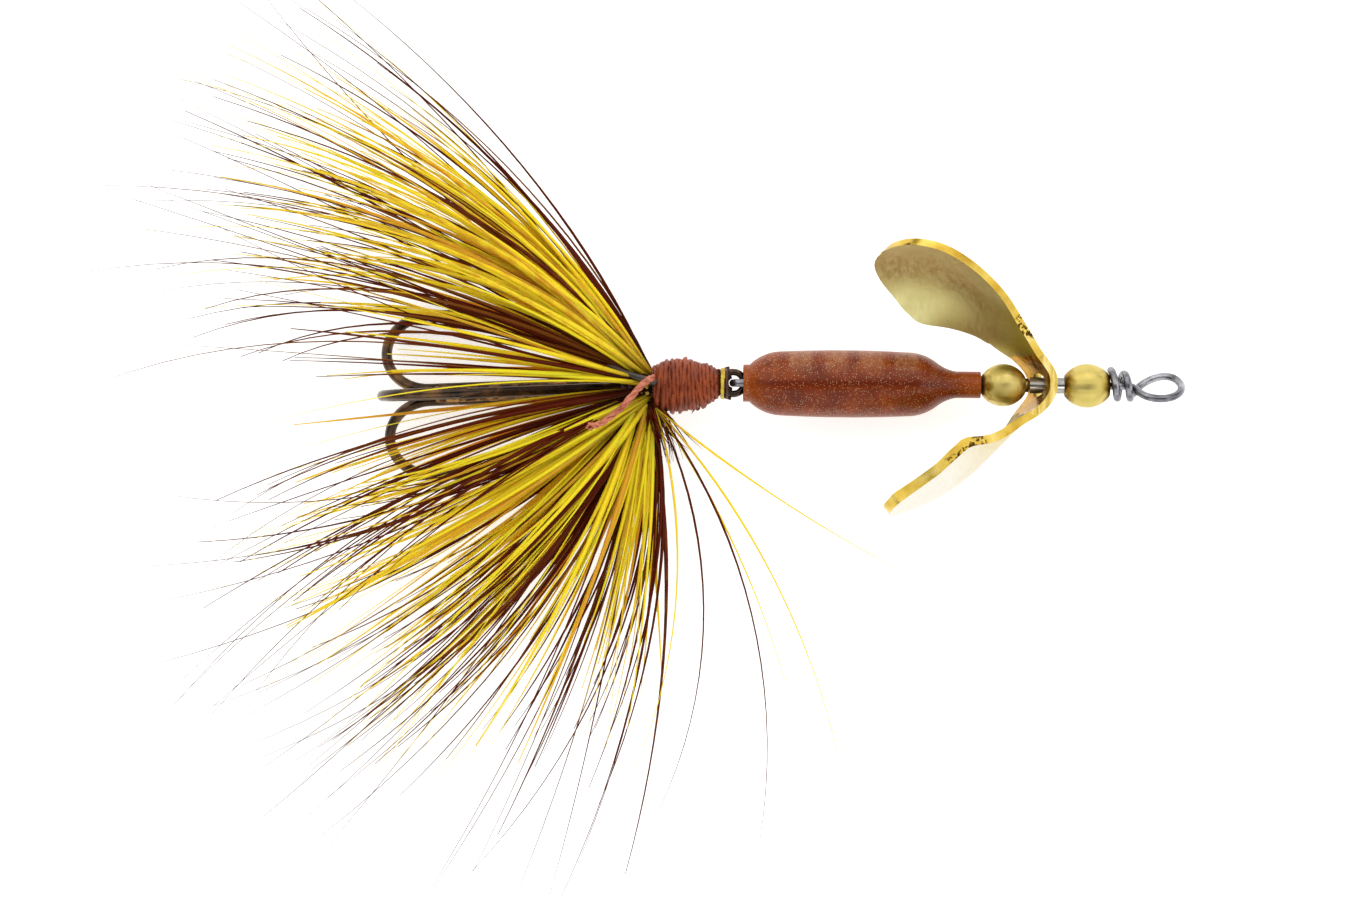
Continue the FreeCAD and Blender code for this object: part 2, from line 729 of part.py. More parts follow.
def quill(name, place):
    """A feather's stripped stem, wound round the shanks."""
    coil = doc.addObject("Part::Helix", name + "_coil")
    bind(
        coil,
        Radius="dims.quill_ring_radius",
        Pitch="dims.quill_pitch",
        Height="dims.quill_pitch * dims.quill_turns",
    )
    section = doc.addObject("Part::Circle", name + "_section")
    section.Placement = Placement(Vector(), Rotation(Vector(0, 0, 1), Vector(0, 1, 0)))
    bind(section, Radius="dims.quill_radius", x="dims.quill_ring_radius")
    doc.recompute()
    stem = doc.addObject("Part::Sweep", name + "_stem")
    stem.Sections = [section]
    stem.Spine = (coil, [])
    stem.Solid = True
    stem.Frenet = True
    stem.Placement = Placement(Vector(), ALONG_X)
    return bind(stem, x=place)


def thread_tag():
    """The tying thread's cut end, which lies back over the hackle."""
    tag = cone("thread_tag_shape", "dims.tag_radius", "dims.tag_radius * 0.8", "dims.tag_length")
    way = Vector(-4.5, -4.2, 1.9).normalize()
    start = Vector(dim("barrel_place") - 0.1, 1.0, dim("thread_rear_radius") + 0.1)  # on the wraps
    tag.Placement = Placement(start, Rotation(Vector(0, 0, 1), way))
    return tag


def tuft(name, turn, flare, share, place):
    """A bundle of barbs, as a spindle that leaves the shanks, with a share of the full length.

    turn goes round the shaft from +Y towards +Z, and flare opens from the shaft's line, in degrees.
    """
    root = cone(name + "_root", "dims.tuft_root_radius", "dims.tuft_belly_radius", "1")
    tip = cone(name + "_tip", "dims.tuft_belly_radius", "dims.tuft_tip_radius", "1")
    root_length = f"dims.tuft_length * dims.tuft_belly_share * {share}"
    bind(root, Height=root_length)
    bind(tip, Height=f"dims.tuft_length * (1 - dims.tuft_belly_share) * {share}")
    turn, flare = math.radians(turn), math.radians(flare)
    out = Vector(0, math.cos(turn), math.sin(turn))
    way = out * math.sin(flare) - Vector(math.cos(flare), 0, 0)
    start = Vector(place, 0, 0) + out * dim("tuft_start_radius")
    rotation = Rotation(Vector(0, 0, 1), way)
    root.Placement = Placement(start, rotation)
    tip.Placement = Placement(start + way * dims.evalExpression(root_length), rotation)
    return fuse(name + "_shape", [root, tip])


def spread(first, last, count):
    """count values from first to last, evenly apart."""
    return [first + (last - first) * i / (count - 1) for i in range(count)]


def hackle(colour, tufts):
    """One feather's barbs as tufts, each given as (turn, share of the full flare, place)."""
    for i, (turn, opening, place) in enumerate(tufts, start=1):
        name = f"{colour}_hackle_{i:02d}"
        sideways = (1 - math.cos(math.radians(turn))) / 2
        flare = dim("near_flare") + (dim("far_flare") - dim("near_flare")) * sideways
        length_share = 0.94 + 0.06 * math.cos(2.4 * i)  # no two neighbours are as long
        hang(tuft(name, turn, flare * opening, length_share, place), name)


def both_hackles():
    """The front feather flares widely to both sides, and the rear one fills the middle."""
    front = dim("yellow_quill_place") + dim("quill_pitch")
    rear = dim("brown_quill_place") + dim("quill_pitch")
    behind = rear - 2 * dim("quill_pitch")
    side_turns = spread(4, 61, 5) + spread(130, 175, 4)
    hackle("yellow", [(turn, 1, front) for turn in side_turns])
    middle = [(turn, 0.55, rear) for turn in spread(12, 168, 10)]
    inner = [(turn, 0.22, behind) for turn in (45, 135)]
    hackle("brown", middle + inner)


def build():
    fill_sheet()
    keep(made("shaft_wire_shape", shaft_wire()), "shaft_wire")
    keep(front_bead(), "front_bead")
    keep(rear_bead(), "rear_bead")
    keep(bearing_sleeve(), "bearing_sleeve")
    keep(twin_blade(), "twin_blade")
    core, coat = body_pieces()
    keep(core, "body_core")
    keep(coat, "body_coating")
    double, third = made("double_hook_shape", double_hook()), third_hook()
    hang(double, "double_hook")
    hang(third, "third_hook")
    hang(hook_braze([double, third]), "hook_braze")
    hang(tying_thread(), "tying_thread")
    hang(yellow_thread(), "yellow_thread")
    hang(eye_wrap(), "eye_wrap")
    hang(quill("yellow_quill", "dims.yellow_quill_place"), "yellow_quill")
    hang(quill("brown_quill", "dims.brown_quill_place"), "brown_quill")
    hang(thread_tag(), "thread_tag")
    both_hackles()
    doc.recompute()


def check():
    """Stops if any object of the document failed, or a piece has no valid shape."""
    for item in doc.Objects:
        if "Invalid" in item.State or "Error" in item.State:
            raise RuntimeError(f"{item.Label} failed: {item.State}")
    for piece in nodes:
        if piece.Shape.isNull() or not piece.Shape.isValid():
            raise RuntimeError(f"{piece.Label} has no valid shape")


def write():
    os.makedirs("parts", exist_ok=True)
    for piece in nodes:
        piece.Shape.exportStep(f"parts/{piece.Label}.step")
        print(f"{piece.Label}: {len(piece.Shape.Solids)} solid, {piece.Shape.Volume:.3f} mm3")


build()
check()
write()
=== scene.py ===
"""Looks for the inline spinner: finishes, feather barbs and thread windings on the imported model.

Everything is in metres once it is in the scene. Sizes below are in millimetres and go through MM.
"""

import json
import math
import random

import bpy
import numpy as np
from mathutils import Matrix, Vector, noise


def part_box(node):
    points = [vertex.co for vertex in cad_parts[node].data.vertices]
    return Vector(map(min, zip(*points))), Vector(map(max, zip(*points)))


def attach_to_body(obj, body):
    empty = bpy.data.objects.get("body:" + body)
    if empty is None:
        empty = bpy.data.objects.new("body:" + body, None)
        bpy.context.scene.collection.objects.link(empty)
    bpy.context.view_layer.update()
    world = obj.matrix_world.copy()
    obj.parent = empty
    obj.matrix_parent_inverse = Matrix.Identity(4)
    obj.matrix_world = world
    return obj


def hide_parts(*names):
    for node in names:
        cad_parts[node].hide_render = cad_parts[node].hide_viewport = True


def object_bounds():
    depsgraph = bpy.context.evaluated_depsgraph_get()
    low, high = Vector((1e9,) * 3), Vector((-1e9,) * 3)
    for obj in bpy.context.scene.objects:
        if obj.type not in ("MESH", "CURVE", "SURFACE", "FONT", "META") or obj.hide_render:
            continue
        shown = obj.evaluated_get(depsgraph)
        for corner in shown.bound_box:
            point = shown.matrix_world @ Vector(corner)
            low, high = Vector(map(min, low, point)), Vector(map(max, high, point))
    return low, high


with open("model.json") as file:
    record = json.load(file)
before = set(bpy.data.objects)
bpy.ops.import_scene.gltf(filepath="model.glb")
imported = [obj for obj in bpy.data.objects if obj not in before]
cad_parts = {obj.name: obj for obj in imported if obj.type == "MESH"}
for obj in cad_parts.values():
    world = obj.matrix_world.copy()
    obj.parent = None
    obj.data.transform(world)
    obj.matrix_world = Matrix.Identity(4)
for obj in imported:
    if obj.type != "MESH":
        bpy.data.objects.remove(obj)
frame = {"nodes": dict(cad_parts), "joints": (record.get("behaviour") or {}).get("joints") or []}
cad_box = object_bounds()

MM = 0.001
HINGE = Vector(next(j["pos_m"] for j in frame["joints"] if j["name"] == "hook_swing"))


# The camera, floor and light


def make_camera():
    """Looks straight down on the lure, which lies along the picture."""
    data = bpy.data.cameras.new("camera")
    data.lens, data.sensor_width = 100.0, 36.0
    data.clip_start, data.clip_end = 0.01, 20.0
    camera = bpy.data.objects.new("camera", data)
    camera.location = (-0.03514, -0.00491, 0.273)
    camera.rotation_euler = (0.0, 0.0, math.radians(0.45))
    bpy.context.scene.collection.objects.link(camera)
    bpy.context.scene.camera = camera


def area_light(name, place, power, width, height):
    """A soft box that faces the middle of the lure."""
    data = bpy.data.lights.new(name, "AREA")
    data.shape, data.size, data.size_y, data.energy = "RECTANGLE", width, height, power
    light = bpy.data.objects.new(name, data)
    middle = (cad_box[0] + cad_box[1]) / 2
    light.location = middle + Vector(place)
    light.rotation_euler = (-Vector(place)).to_track_quat("-Z", "Y").to_euler()
    bpy.context.scene.collection.objects.link(light)


def make_world():
    """A studio that is white at the sides and grey overhead, so that metal has something to show."""
    world = bpy.data.worlds.new("studio")
    world.use_nodes = True
    tree = world.node_tree
    coords = tree.nodes.new("ShaderNodeTexCoord")
    split = tree.nodes.new("ShaderNodeSeparateXYZ")
    ramp = tree.nodes.new("ShaderNodeValToRGB")
    ramp.color_ramp.elements[0].position = 0.35
    ramp.color_ramp.elements[0].color = (0.72, 0.72, 0.72, 1.0)
    ramp.color_ramp.elements[1].position = 0.95
    ramp.color_ramp.elements[1].color = (0.2, 0.2, 0.2, 1.0)
    tree.links.new(coords.outputs["Generated"], split.inputs[0])
    tree.links.new(split.outputs["Z"], ramp.inputs[0])
    tree.links.new(ramp.outputs[0], tree.nodes["Background"].inputs["Color"])
    tree.nodes["Background"].inputs["Strength"].default_value = 0.8
    bpy.context.scene.world = world


def make_studio():
    """The pale floor under the lure, and soft light from all sides."""
    make_world()
    area_light("key_light", (-0.10, 0.42, 0.44), 4.3, 1.3, 0.8)
    area_light("fill_light", (0.05, -0.48, 0.40), 2.7, 1.3, 0.7)
    area_light("side_light", (0.56, 0.05, 0.26), 1.2, 0.5, 0.8)
    surface = Surface("floor_white", Base_Color=rgb("f4f4f4"), Roughness=0.9)
    surface.set(Emission_Color=rgb("ffffff"), Emission_Strength=0.5)
    grain = surface.noise(400, 3)
    surface.set(Roughness=surface.spread(grain, 0.85, 0.95))
    half, height = 1.5, cad_box[0].z - 0.0002
    corners = [(-half, -half, height), (half, -half, height), (half, half, height), (-half, half, height)]
    floor = make_object("floor", corners, [(0, 1, 2, 3)], surface.material)


# Materials


def rgb(code):
    """A linear colour from a hexadecimal sRGB one."""
    values = [int(code[i : i + 2], 16) / 255 for i in (0, 2, 4)]
    return tuple(v / 12.92 if v <= 0.04045 else ((v + 0.055) / 1.055) ** 2.4 for v in values) + (1.0,)


class Surface:
    """A Principled material, with textures in the object's own coordinates."""

    def __init__(self, name, **sockets):
        self.material = bpy.data.materials.new(name)
        self.material.use_nodes = True
        self.tree = self.material.node_tree
        self.shader = self.tree.nodes["Principled BSDF"]
        self.normal = None
        self.set(**sockets)

    def feed(self, socket, value):
        """Links a socket to another, or sets its value."""
        if isinstance(value, bpy.types.NodeSocket):
            self.tree.links.new(value, socket)
        else:
            socket.default_value = value

    def set(self, **sockets):
        """Feeds the shader's sockets, named with _ for a space."""
        for name, value in sockets.items():
            self.feed(self.shader.inputs[name.replace("_", " ")], value)

    def math(self, operation, *values):
        node = self.tree.nodes.new("ShaderNodeMath")
        node.operation = operation
        for socket, value in zip(node.inputs, values):
            self.feed(socket, value)
        return node.outputs[0]

    def product(self, first, *others):
        """Multiplies sockets and numbers together."""
        for other in others:
            first = self.math("MULTIPLY", first, other)
        return first

    def off(self, value, centre=0.0):
        """How far the value is from a centre."""
        return self.math("ABSOLUTE", self.math("SUBTRACT", value, centre))

    def place(self, stretch=(1, 1, 1)):
        """The point on the object, with its axes stretched."""
        coords = self.tree.nodes.new("ShaderNodeTexCoord")
        scale = self.tree.nodes.new("ShaderNodeVectorMath")
        scale.operation = "MULTIPLY"
        self.feed(scale.inputs[0], coords.outputs["Object"])
        scale.inputs[1].default_value = stretch
        return scale.outputs[0]

    def axes(self):
        """The point's X, Y and Z in metres."""
        split = self.tree.nodes.new("ShaderNodeSeparateXYZ")
        self.feed(split.inputs[0], self.place())
        return split.outputs[0], split.outputs[1], split.outputs[2]

    def noise(self, scale, detail=2.0, stretch=(1, 1, 1), distortion=0.0):
        node = self.tree.nodes.new("ShaderNodeTexNoise")
        self.feed(node.inputs["Vector"], self.place(stretch))
        node.inputs["Scale"].default_value = scale
        node.inputs["Detail"].default_value = detail
        node.inputs["Distortion"].default_value = distortion
        return node.outputs["Fac"]

    def cells(self, scale, output="Distance"):
        node = self.tree.nodes.new("ShaderNodeTexVoronoi")
        self.feed(node.inputs["Vector"], self.place())
        node.inputs["Scale"].default_value = scale
        return node.outputs[output]

    def spread(self, value, low, high, start=0.3, end=0.7):
        """Takes start..end of the value smoothly to low..high."""
        node = self.tree.nodes.new("ShaderNodeMapRange")
        node.interpolation_type = "SMOOTHSTEP"
        for socket, given in zip(node.inputs, (value, start, end, low, high)):
            self.feed(socket, given)
        return node.outputs[0]

    def ramp(self, value, *stops):
        """A colour along the value, from (position, hexadecimal colour) stops."""
        node = self.tree.nodes.new("ShaderNodeValToRGB")
        elements = node.color_ramp.elements
        while len(elements) < len(stops):
            elements.new(0.5)
        for element, (position, code) in zip(elements, stops):
            element.position, element.color = position, rgb(code)
        self.feed(node.inputs[0], value)
        return node.outputs[0]

    def mix(self, share, first, second):
        """Blends two colours, given as sockets or hexadecimal."""
        node = self.tree.nodes.new("ShaderNodeMix")
        node.data_type = "RGBA"
        self.feed(node.inputs["Factor"], share)
        for name, colour in (("A", first), ("B", second)):
            socket = next(s for s in node.inputs if s.name == name and s.type == "RGBA")
            self.feed(socket, rgb(colour) if isinstance(colour, str) else colour)
        return next(s for s in node.outputs if s.type == "RGBA")

    def bump(self, height, depth, strength=1.0):
        """Raises the surface by a depth in metres, over any bump before."""
        node = self.tree.nodes.new("ShaderNodeBump")
        node.inputs["Distance"].default_value = depth
        node.inputs["Strength"].default_value = strength
        self.feed(node.inputs["Height"], height)
        if self.normal:
            self.feed(node.inputs["Normal"], self.normal)
        self.normal = node.outputs[0]
        self.set(Normal=self.normal)

    def around(self):
        """The angle about the shaft, in radians, from +Y towards +Z."""
        _, y, z = self.axes()
        return self.math("ARCTAN2", z, y)

    def along(self, node):
        """How far along a CAD node's length the point is: -1 at its rear, 1 at its front."""
        low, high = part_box(node)
        middle, half = (low.x + high.x) / 2, (high.x - low.x) / 2
        return self.math("DIVIDE", self.math("SUBTRACT", self.axes()[0], middle), half)

    def uv(self):
        """A barb's share along its length, and its own random number."""
        split = self.tree.nodes.new("ShaderNodeSeparateXYZ")
        self.feed(split.inputs[0], self.tree.nodes.new("ShaderNodeUVMap").outputs[0])
        return split.outputs[0], split.outputs[1]


def steel_surface():
    """Bright drawn wire, with fine draw lines and dull patches."""
    s = Surface("polished_steel", Metallic=1.0)
    cloud = s.noise(900, 3)
    s.set(Base_Color=s.ramp(cloud, (0.3, "55555a"), (0.5, "7e7e83"), (0.7, "adadb2")))
    s.set(Roughness=s.spread(cloud, 0.16, 0.32))
    s.bump(s.noise(7000, 2, (0.12, 1, 1)), 0.000012)
    return s.material


def bead_surface(name, node, middle, ends, flutes, cloudiness):
    """Satin brass with painted shade that darkens it towards its ends, with faint flutes round its middle.
    """
    s = Surface(name, Metallic=1.0)
    reach = s.math("ABSOLUTE", s.along(node))
    cloud = s.noise(1300, 4, distortion=0.6)
    blotch = s.math("ADD", reach, s.spread(cloud, -cloudiness, cloudiness))
    # Painted shade: the colour darkens from the middle to the ends colour, and to dark brown at the very
    # ends
    s.set(Base_Color=s.ramp(blotch, (0.15, middle), (0.62, middle), (0.85, ends), (1.0, "5f4312")))
    s.set(Roughness=s.spread(cloud, 0.36, 0.36 + cloudiness, 0.35, 0.6))
    flute = s.math("SINE", s.math("MULTIPLY", s.around(), flutes))
    s.bump(s.math("MULTIPLY", flute, s.spread(reach, 1.0, 0.0, 0.45, 0.8)), 0.00001, 0.3)
    s.bump(s.noise(5200, 3), 0.00001, 0.4)
    return s.material


def sleeve_surface():
    """Satin nickel strip, rolled up, with a painted highlight: a bright, glossier stripe near its top,
    sunk a little by a bump.
    """
    s = Surface("satin_nickel", Metallic=1.0)
    highlight_angle = 1.9
    # Painted highlight: a bright stripe along the sleeve at a fixed angle near its top
    highlight_stripe = s.spread(s.off(s.around(), highlight_angle), 1.0, 0.0, 0.05, 0.2)
    brushed = s.noise(4200, 3, (0.15, 1, 1))
    s.set(Base_Color=s.mix(highlight_stripe, s.ramp(brushed, (0.3, "7e7b76"), (0.7, "b9b5ae")), "f2efe8"))
    s.set(Roughness=s.spread(highlight_stripe, 0.42, 0.14, 0.2, 0.8))
    s.bump(s.math("ADD", brushed, s.math("MULTIPLY", highlight_stripe, -1.5)), 0.00002)
    return s.material


def leaf_surface(name, tip, hub, roughness):
    """Satin plate that pales from the hub to the tip, finely lined by its rolling. The paling is a painted
    reflection.
    """
    s = Surface(name, Metallic=1.0)
    share = s.math("MULTIPLY_ADD", s.along("twin_blade"), 0.5, 0.5)
    cloud = s.math("MULTIPLY_ADD", s.noise(260, 3), 0.24, s.math("SUBTRACT", share, 0.12))
    # Painted reflection: pale towards the tip and darker towards the hub
    s.set(Base_Color=s.ramp(cloud, (0.1, tip), (0.38, tip), (0.78, hub), (1.0, hub)))
    lines = s.noise(3800, 3, (1, 0.25, 0.6))
    s.set(Roughness=s.spread(lines, roughness - 0.07, roughness + 0.07))
    s.bump(lines, 0.000008, 0.6)
    s.bump(s.noise(420, 2), 0.00006, 0.25)
    return s.material


def edge_surface():
    """The blade's polished rim, with file marks and thin dark lines that are painted reflections."""
    s = Surface("polished_blade_edge", Metallic=1.0)
    cloud = s.noise(500, 3)
    colour = s.ramp(cloud, (0.3, "b08a2c"), (0.5, "cfb04c"), (0.7, "e4cf7c"))
    # Painted reflection: thin dark lines in patches along the rim, also bumped a little
    teeth = s.spread(s.noise(4200, 2, (1, 1, 0.4)), 0.0, 1.0, 0.47, 0.53)
    dark_reflections = s.math("MULTIPLY", teeth, s.spread(s.noise(330, 1), 0.0, 1.0, 0.56, 0.62))
    s.set(Base_Color=s.mix(dark_reflections, colour, "4c340a"))
    s.set(Roughness=s.spread(cloud, 0.14, 0.3))
    s.bump(s.noise(2600, 3, (1, 1, 0.3)), 0.00002, 0.4)
    s.bump(dark_reflections, 0.00003, 0.4)
    return s.material


def hub_surface(name, shades, brushing, hammering):
    """The bent middle of the blade, brushed across and lightly hammered."""
    s = Surface(name, Metallic=1.0)
    brushed = s.noise(2400, 4, (1, 0.2, 1))
    s.set(Base_Color=s.ramp(brushed, *zip((0.28, 0.5, 0.74), shades)))
    s.set(Roughness=s.spread(brushed, 0.18, 0.32))
    s.bump(brushed, 0.00002, brushing)
    s.bump(s.cells(1100), 0.00008, hammering)
    return s.material


def painted_reflection_line(s, y, z, cloud):
    """A painted reflection: the dark line along the top of the body, standing in for a dark gap overhead
    mirrored in the lacquer.
    """
    wavy = s.math("ADD", y, s.spread(cloud, -0.0001, 0.0001))
    top = s.spread(s.off(wavy), 1.0, 0.0, 0.0, 0.0004)
    above = s.spread(z, 0.0, 1.0, 0.0012, 0.0020)
    return s.product(top, above, s.spread(cloud, 0.35, 0.95))


def coat_scallops(s, x, angle):
    """Dusty patches in a row along the body, on its +Y flank."""
    pitch, start, middle, flank_angle = 0.00257, 0.0261, -0.0222, 0.55
    wave = s.math("COSINE", s.math("MULTIPLY", s.math("ADD", x, start), 2 * math.pi / pitch))
    flank = s.spread(s.off(angle, flank_angle), 1.0, 0.0, 0.2, 0.9)
    span = s.spread(s.off(x, middle), 1.0, 0.0, 0.0045, 0.0065)
    patches = s.spread(wave, 0.0, 0.75, -0.95, 0.1)
    return s.product(patches, flank, span, s.spread(s.noise(2600, 3), 0.3, 1.0))


def coat_flecks(s, y, dust):
    """Specks of glitter, thicker in the scallops and towards the body's edges."""
    specks = 12500
    edges = s.spread(s.off(y), 0.0, 0.16, 0.0012, 0.0024)
    wanted = s.math("SUBTRACT", 0.6, s.math("ADD", edges, s.math("MULTIPLY", dust, 0.3)))
    chosen = s.math("GREATER_THAN", s.cells(specks, "Color"), wanted)
    return s.math("MULTIPLY", chosen, s.spread(s.cells(specks), 1.0, 0.0, 0.12, 0.32))


def coat_surface():
    """Amber lacquer over the cast body: glitter, a dark line on top that is a painted reflection, and
    dusty scallops beside it.
    """
    s = Surface("amber_lacquer", Coat_Weight=0.22, Coat_Roughness=0.2, Specular_IOR_Level=0.12)
    x, y, z = s.axes()
    angle = s.around()
    cloud = s.noise(520, 4, distortion=0.4)
    colour = s.ramp(cloud, (0.25, "561a02"), (0.5, "742a02"), (0.75, "8e3c03"))
    ends = s.math("ABSOLUTE", s.along("body_coating"))
    colour = s.mix(s.spread(ends, 0.0, 0.55, 0.72, 1.0), colour, "a85010")
    side = s.spread(s.off(angle, math.pi / 2), 0.0, 0.5, 0.5, 1.5)
    colour = s.mix(side, colour, "883a04")
    # Painted reflection: a dark red-brown line along the top of the body
    colour = s.mix(painted_reflection_line(s, y, z, cloud), colour, "541002")
    dust = coat_scallops(s, x, angle)
    colour = s.mix(s.math("MULTIPLY", dust, 0.8), colour, "a8704a")
    fleck = coat_flecks(s, y, dust)
    colour = s.mix(s.math("MULTIPLY", fleck, 0.9), colour, "ffe2ac")
    s.set(Base_Color=colour, Metallic=s.math("MULTIPLY", fleck, 0.9))
    s.set(Roughness=s.spread(cloud, 0.28, 0.42))
    s.bump(s.noise(330, 2), 0.00012, 0.5)
    s.bump(fleck, 0.00003, 0.4)
    return s.material


def core_surface():
    """Grey cast metal, grainy from its mould."""
    s = Surface("cast_metal", Metallic=0.9)
    grain = s.noise(2200, 5)
    s.set(Base_Color=s.ramp(grain, (0.3, "4f4d4a"), (0.7, "9a9791")), Roughness=s.spread(grain, 0.35, 0.6))
    s.bump(grain, 0.00003)
    return s.material


def hook_surface():
    """Bronze-brown plated wire, darker in patches and rubbed bright in others."""
    s = Surface("bronze_plate", Metallic=0.85, Coat_Weight=0.4, Coat_Roughness=0.08)
    patch = s.noise(700, 4, distortion=0.5)
    s.set(Base_Color=s.ramp(patch, (0.3, "1d120a"), (0.52, "3f2a17"), (0.74, "7a5830")))
    s.set(Roughness=s.spread(patch, 0.2, 0.38))
    s.bump(s.noise(3600, 3), 0.00002, 0.5)
    return s.material


def braze_surface():
    """Lumpy brass braze, dark with flux in its hollows."""
    s = Surface("dull_braze", Metallic=0.9)
    lumps = s.noise(1500, 4, distortion=0.8)
    s.set(Base_Color=s.ramp(lumps, (0.3, "24160a"), (0.5, "6b4a22"), (0.72, "c79a55")))
    s.set(Roughness=s.spread(lumps, 0.45, 0.25))
    s.bump(lumps, 0.00006)
    return s.material


def thread_surface(name, dark, light, lacquer):
    """Spun thread under lacquer, with fibres and specks of another shade."""
    s = Surface(name, Coat_Weight=lacquer, Coat_Roughness=0.25, Specular_IOR_Level=0.25)
    fibres = s.noise(5200, 4)
    shade = s.noise(800, 3)
    blend = s.math("MULTIPLY_ADD", fibres, 0.5, s.math("MULTIPLY", shade, 0.5))
    s.set(Base_Color=s.ramp(blend, (0.3, dark), (0.7, light)), Roughness=s.spread(fibres, 0.42, 0.7))
    s.bump(fibres, 0.00003)
    return s.material


def feather_surface(name, root, blade, other, tip, glow, gloss):
    """Feather barbs, with painted shade darkening each barb's root, a colour of their own at the tip, and
    some of another shade. glow is light let through.
    """
    s = Surface(name, Specular_IOR_Level=gloss, Subsurface_Weight=glow, Subsurface_Scale=0.0006)
    share, chance = s.uv()
    streak = s.noise(900, 3)
    own = s.math("MULTIPLY_ADD", streak, 0.35, s.math("MULTIPLY", chance, 0.75))
    colour = s.mix(s.spread(own, 0.0, 1.0, 0.62, 0.82), blade, other)
    # Painted shade: the root colour darkens the first fifth of each barb, where the barbs crowd round the
    # shanks
    colour = s.mix(s.spread(share, 0.85, 0.0, 0.0, 0.22), colour, root)
    colour = s.mix(s.spread(share, 0.0, 0.8, 0.62, 1.0), colour, tip)
    s.set(Base_Color=colour, Roughness=s.spread(streak, 0.35, 0.55))
    s.bump(s.noise(9000, 2), 0.00001, 0.4)
    return s.material


def quill_surface(name, dark, light):
    """The feather's stem wound round the shanks, with the stubs of its barbs."""
    s = Surface(name, Coat_Weight=0.3, Coat_Roughness=0.2)
    stubs = s.noise(2400, 4, (0.3, 1, 1))
    s.set(Base_Color=s.ramp(stubs, (0.3, dark), (0.68, light)), Roughness=s.spread(stubs, 0.35, 0.6))
    s.bump(stubs, 0.00008)
    return s.material


# Meshes


def make_object(name, points, faces, material, uvs=None):
    """A smooth mesh object from points in metres."""
    mesh = bpy.data.meshes.new(name)
    mesh.from_pydata([tuple(p) for p in points], [], faces)
    mesh.polygons.foreach_set("use_smooth", [True] * len(mesh.polygons))
    if uvs is not None:
        layer = mesh.uv_layers.new(name="UVMap")
        corners = [0] * len(mesh.loops)
        mesh.loops.foreach_get("vertex_index", corners)
        layer.data.foreach_set("uv", [value for corner in corners for value in uvs[corner]])
    mesh.materials.append(material)
    mesh.update()
    made = bpy.data.objects.new(name, mesh)
    bpy.context.scene.collection.objects.link(made)
    return made


def directions(path):
    """The path's direction at each of its points."""
    ways = []
    for index in range(len(path)):
        before, after = path[max(index - 1, 0)], path[min(index + 1, len(path) - 1)]
        ways.append((after - before).normalized())
    return ways


class Tubes:
    """Gathers tubes into one mesh, in millimetres."""

    def __init__(self):
        self.points, self.faces, self.uvs = [], [], []

    def add(self, path, radius, sides=6, chance=0.5, section=None, height=1.0):
        """A closed tube along a path, its height over its width as given.

        radius is a function of the share along it, and section of the station and the turn round it.
        """
        first = len(self.points)
        ways = directions(path)
        up = Vector((0, 0, 1))
        normal = up if abs(ways[0].z) < 0.95 else ways[0].orthogonal()
        last = len(path) - 1
        for index, (point, way) in enumerate(zip(path, ways)):
            normal = (normal - way * normal.dot(way)).normalized()
            side = way.cross(normal)
            share = index / last
            for corner in range(sides):
                turn = 2 * math.pi * corner / sides
                reach = radius(share) * (section(index, turn) if section else 1.0)
                out = normal * math.cos(turn) * height + side * math.sin(turn)
                self.points.append(point + out * reach)
                self.uvs.append((share, chance))
        for index in range(last):
            here, there = first + index * sides, first + (index + 1) * sides
            for corner in range(sides):
                other = (corner + 1) % sides
                self.faces.append((here + corner, here + other, there + other, there + corner))
        self.faces.append(tuple(first + corner for corner in reversed(range(sides))))
        self.faces.append(tuple(first + last * sides + corner for corner in range(sides)))

    def finish(self, name, material, placing):
        """The object, with its points moved by a placing in metres."""
        points = [placing @ (point * MM) for point in self.points]
        return make_object(name, points, self.faces, material, self.uvs)


def attach(piece, body, slot, *nodes):
    """Hangs a piece on its body and hides the CAD nodes it stands for."""
    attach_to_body(piece, body)
    if nodes:
        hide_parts(*nodes)


def between(stops, share):
    """The value at a share between (share, value) stops, smoothly."""
    for (start, low), (end, high) in zip(stops, stops[1:]):
        if share <= end:
            part = max(0.0, (share - start) / (end - start))
            return low + (high - low) * part * part * (3 - 2 * part)
    return stops[-1][1]


# The hook's own axis: X forwards along the shanks, from the hinge in the rear loop


def hook_placing():
    """From the hook's axis to the model, both in metres. The hook hangs a little off the shaft's line."""
    thread_low, thread_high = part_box("tying_thread")
    forwards = HINGE - (thread_low + thread_high) / 2
    turn = math.atan2(forwards.y, forwards.x)
    return Matrix.Translation(HINGE) @ Matrix.Rotation(turn, 4, "Z")


def hook_span(node):
    """A CAD node's rear and front in millimetres from the hinge, and its radius about the hook's axis."""
    back = PLACING.inverted()
    points = [back @ v.co / MM for v in frame["nodes"][node].data.vertices]
    places = [p.x for p in points]
    return min(places), max(places), max(math.hypot(p.y, p.z) for p in points)


PLACING = hook_placing()


def ply(lobes, depth, turn_step):
    """A thread's section: its plies stand out as lobes that turn a little at each station."""
    return lambda index, turn: 1.0 + depth * math.cos(lobes * (turn - index * turn_step))


def coil(rear, front, turns, reach, slant=0.0, steps=64, phase=0.0):
    """A winding about the hook's axis. reach is its radius by the share from rear to front."""
    path = []
    total = int(turns * steps)
    for index in range(total + 1):
        share = index / total
        turn = 2 * math.pi * turns * share + phase
        along = rear + (front - rear) * share + slant * math.cos(turn)
        radius = reach(share)
        path.append(Vector((along, radius * math.cos(turn), radius * math.sin(turn))))
    return path


